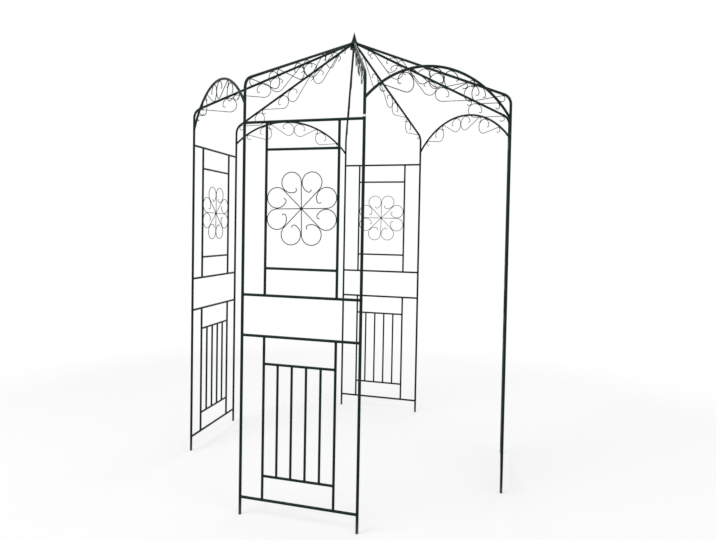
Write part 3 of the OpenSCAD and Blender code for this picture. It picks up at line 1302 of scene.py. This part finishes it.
@dataclass
class Crown:
    """The hub and the finial on it, with the bead and lips round them.

    A lip's seat and top are shares of its radius: how far it is set into the hub,
    and the height above which it is flattened. Its inner half is tucked in.
    """

    sizes: Sizes
    foot_r: float = 1.6 * MM
    foot_steps: int = 48
    foot_sides: int = 8
    foot_ripple: tuple[float, float] = (-0.1, 0.15)
    foot_unevenness: float = 0.05
    foot_seed: int = 7
    lip_r: float = 1.2 * MM
    lip_steps: int = 96
    lip_sides: int = 12
    lip_seat: float = 0.9
    lip_tuck: float = 0.93
    lip_top: float = 0.4
    lip_flat: float = 0.7

    def build(self, kit: Kit) -> None:
        """Coats hub and finial and models the bead and lips.

        Args:
            kit: The finishes and weld patterns.
        """
        kit.coat("roof_hub", Slot.HUB)
        kit.coat("finial", Slot.FINIAL)
        kit.fit(self.foot_bead(), Slot.FINIAL)
        kit.fit(self.lip("hub_lower_rim", self.sizes.hub_low, -1), Slot.HUB)
        kit.fit(self.lip("hub_upper_rim", self.sizes.hub_top, 1), Slot.HUB)

    def foot_bead(self) -> Piece:
        """Models the rippled bead round the finial's foot.

        Returns:
            The bead.
        """
        radius, steps, sides = self.sizes.finial_r, self.foot_steps, self.foot_sides
        place = Matrix.Translation((0, 0, self.sizes.hub_top))
        bead = add_ring("finial_foot_weld", radius, self.foot_r, steps, sides, place)
        draw = random.Random(self.foot_seed)
        spread = self.foot_unevenness
        with editing(bead):
            for step, turn in each_section(bead, steps, sides):
                middle = place @ Vector((radius * math.cos(turn), radius * math.sin(turn), 0))
                swell = 1.0 + self.foot_ripple[step % 2] + draw.uniform(-spread, spread)
                scale_chosen((swell,) * 3, middle)
        smooth(bead, degrees=80)
        return bead

    def lip(self, name: str, height: float, way: int) -> Piece:
        """Models the rolled lip at one end of the hub.

        Args:
            name: The piece's name.
            height: Height of that end.
            way: 1 where the hub lies below the lip, -1 where it lies above.

        Returns:
            The lip.
        """
        middle = self.sizes.hub_r - self.lip_r * self.lip_seat
        place = Matrix.Translation((0, 0, height))
        lip = add_ring(name, middle, self.lip_r, self.lip_steps, self.lip_sides, place)
        with editing(lip):
            choose(lip, lambda vert: vert.co.xy.length < middle)
            scale_chosen((self.lip_tuck, self.lip_tuck, 1), place.translation)
            choose(lip, lambda vert: way * (vert.co.z - height) > self.lip_r * self.lip_top)
            scale_chosen((1, 1, self.lip_flat), place.translation)
        smooth(lip, degrees=60)
        return lip


# ---- Studio ----


@dataclass(frozen=True)
class SoftBox:
    """One large soft lamp that looks at the pavilion."""

    name: str
    place: tuple[float, float, float]
    size: float
    power: float

    def build(self, target: Vector) -> None:
        """Hangs the lamp.

        Args:
            target: The point that it looks at.
        """
        lamp = bpy.data.lights.new(self.name, "AREA")
        lamp.shape = "SQUARE"
        lamp.size = self.size
        lamp.energy = self.power
        holder = bpy.data.objects.new(self.name, lamp)
        holder.location = self.place
        holder.rotation_euler = (target - holder.location).to_track_quat("-Z", "Y").to_euler()
        bpy.context.scene.collection.objects.link(holder)


@dataclass(frozen=True)
class Camera:
    """The camera, by its place, its angles in degrees and its lens.

    Unturned, it looks straight down; the level angle lifts it to the horizon.
    """

    place: tuple[float, float, float] = (0.9146, -3.5383, 1.4251)
    heading: float = 16.089
    pitch: float = -1.662
    roll: float = 0.968
    level: float = 90.0
    lens_mm: float = 28.904
    sensor_mm: float = 36.0
    shift: tuple[float, float] = (0.0326, -0.0337)
    clip: tuple[float, float] = (0.05, 200.0)

    def build(self) -> None:
        """Stands the camera in the scene."""
        data = bpy.data.cameras.new("camera")
        data.lens = self.lens_mm
        data.sensor_width = self.sensor_mm
        data.shift_x, data.shift_y = self.shift
        data.clip_start, data.clip_end = self.clip
        holder = bpy.data.objects.new("camera", data)
        turn = (
            Matrix.Rotation(math.radians(self.heading), 4, "Z")
            @ Matrix.Rotation(math.radians(self.level + self.pitch), 4, "X")
            @ Matrix.Rotation(math.radians(self.roll), 4, "Z")
        )
        holder.matrix_world = Matrix.Translation(self.place) @ turn
        bpy.context.scene.collection.objects.link(holder)
        bpy.context.scene.camera = holder


@dataclass
class Studio:
    """A plain white room with soft light from all round."""

    sky: float = 0.75
    floor_size: float = 60.0
    floor_tone: float = 0.93
    floor_glow: float = 0.5
    floor_drop: float = 0.5 * MM
    floor_fade: tuple[float, float] = (1.6, 4.0)
    lamps: tuple[SoftBox, ...] = (
        SoftBox("key_light", (-4.0, -5.0, 6.0), 3.0, 260.0),
        SoftBox("fill_light", (6.0, -3.0, 4.0), 4.0, 120.0),
        SoftBox("back_light", (1.0, 6.0, 5.0), 4.0, 120.0),
    )

    def build(self) -> None:
        """Sets up world, floor, lamps, camera and colour management."""
        bpy.context.scene.view_settings.view_transform = "Standard"
        self.world()
        self.floor()
        target = (CAD_BOX[0] + CAD_BOX[1]) / 2
        for lamp in self.lamps:
            lamp.build(target)
        Camera().build()

    def world(self) -> None:
        """Makes the sky: white where it is seen, softer as a light."""
        world = bpy.data.worlds.new("studio_sky")
        bpy.context.scene.world = world
        wiring = Wiring.over(world)
        lit = wiring.add("ShaderNodeBackground", {"Strength": self.sky})
        white = wiring.add("ShaderNodeBackground", {"Color": WHITE})
        wiring.blend(wiring.seen_directly(), (lit, white), "ShaderNodeOutputWorld")

    def floor(self) -> None:
        """Lays the floor: it takes a faint shadow near the pavilion and fades to white."""
        deselect()
        bpy.ops.mesh.primitive_plane_add(size=self.floor_size, location=(0, 0, -self.floor_drop))
        plane = bpy.context.object
        plane.name = "studio_floor"
        bpy.ops.object.transform_apply(location=True, rotation=True, scale=True)
        material = bpy.data.materials.new("studio_floor_paint")
        wiring = Wiring.over(material)
        place = wiring.add("ShaderNodeTexCoord").outputs["Object"]
        away = wiring.add("ShaderNodeVectorMath", {0: place}, operation="LENGTH").outputs["Value"]
        paint = wiring.add("ShaderNodeBsdfDiffuse", {"Color": (*(self.floor_tone,) * 3, 1)})
        glow = wiring.add("ShaderNodeEmission")
        glowing = wiring.math("MAXIMUM", wiring.ramp(away, *self.floor_fade), self.floor_glow)
        shown = wiring.math("MULTIPLY", glowing, wiring.seen_directly())
        wiring.blend(shown, (paint, glow), "ShaderNodeOutputMaterial")
        plane.data.materials.append(material)


def main() -> None:
    """Builds the studio, then every sub-assembly in order."""
    logging.basicConfig(level=logging.INFO, format="%(name)s: %(message)s")
    Studio().build()
    sizes = Sizes.measured()
    kit = Kit(sizes)
    panels = [Panel(side, sizes) for side in Side]
    rafters = [Rafter(side, hand, sizes) for side in Side for hand in side.hands]
    doorways = [Doorway(side, sizes) for side in Side]
    for part in (*panels, *rafters, *doorways, Crown(sizes)):
        part.build(kit)
    kit.clear()


if __name__ == "__main__":
    main()
